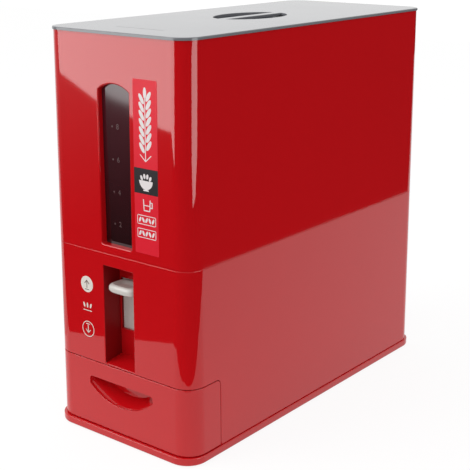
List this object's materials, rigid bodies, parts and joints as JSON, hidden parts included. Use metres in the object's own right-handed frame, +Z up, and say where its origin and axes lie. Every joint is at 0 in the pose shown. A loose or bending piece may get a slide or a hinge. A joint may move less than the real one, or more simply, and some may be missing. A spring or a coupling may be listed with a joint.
{
  "type": "rice dispenser with drawer",
  "caption": "Upright measuring rice dispenser: tapered tank with lift-off lid and window, press-down lever that turns a measuring drum, and a pull-out drawer below.",
  "frame": {"origin": "centre of the footprint, on the surface it stands on", "axes": "+Z up; the drawer, lever and window face -Y; +X is the right-hand side as seen from the front; +Y points to the back"},
  "size_m": [0.1752, 0.3932, 0.38],
  "materials": {
    "shell_red": "gloss",
    "lid_grey": "gloss",
    "bowl_slate": "satin",
    "lever_ivory": "gloss",
    "window_smoke": "gloss",
    "inner_grey": "satin",
    "drum_white": "satin",
    "label_pink": "satin",
    "label_dark": "satin",
    "mark_cream": "satin",
    "steel": "satin",
    "rubber": "matte"
  },
  "bodies": {
    "case": {"base_tray": "shell_red", "rubber_feet": "rubber", "lower_case": "shell_red", "upper_case": "shell_red", "window_panel": "window_smoke", "window_frame": "shell_red", "scale_marks": "mark_cream", "label_panel": "label_pink", "label_band": "label_dark", "mark_measure": "mark_cream", "mark_release": "mark_cream", "hopper_funnel": "inner_grey", "drum_housing": "inner_grey", "housing_screws": "steel", "return_spring": "steel"},
    "lid": {"lid_plate": "lid_grey", "lid_bowl": "bowl_slate", "lid_seal": "rubber"},
    "drawer": {"drawer_front": "shell_red", "handle_scoop": "shell_red", "drawer_tray": "shell_red"},
    "lever": {"lever_pad": "lever_ivory", "lever_slide": "lever_ivory"},
    "drum": {"measuring_drum": "drum_white", "drum_pinion": "drum_white", "drum_clip": "steel"}
  },
  "joints": [
    {"name": "lid_lift", "type": "slide", "parent": "case", "child": "lid", "axis": [0, 0, 1], "range_m": [0, 0.15]},
    {"name": "drawer_pull", "type": "slide", "parent": "case", "child": "drawer", "axis": [0, -1, 0], "range_m": [0, 0.15]},
    {"name": "lever_press", "type": "slide", "parent": "case", "child": "lever", "axis": [0, 0, -1], "range_m": [0, 0.041], "stiffness_N_per_m": 80, "springref_m": -0.04, "deforming": ["return_spring"]},
    {"name": "drum_turn", "type": "hinge", "parent": "case", "child": "drum", "pos_m": [0, -0.13, 0.108], "axis": [1, 0, 0], "range_deg": [0, 120.6]}
  ],
  "couplings": [
    {"joint": "drum_turn", "follows": "lever_press", "rad_per_m": 51.282}
  ]
}
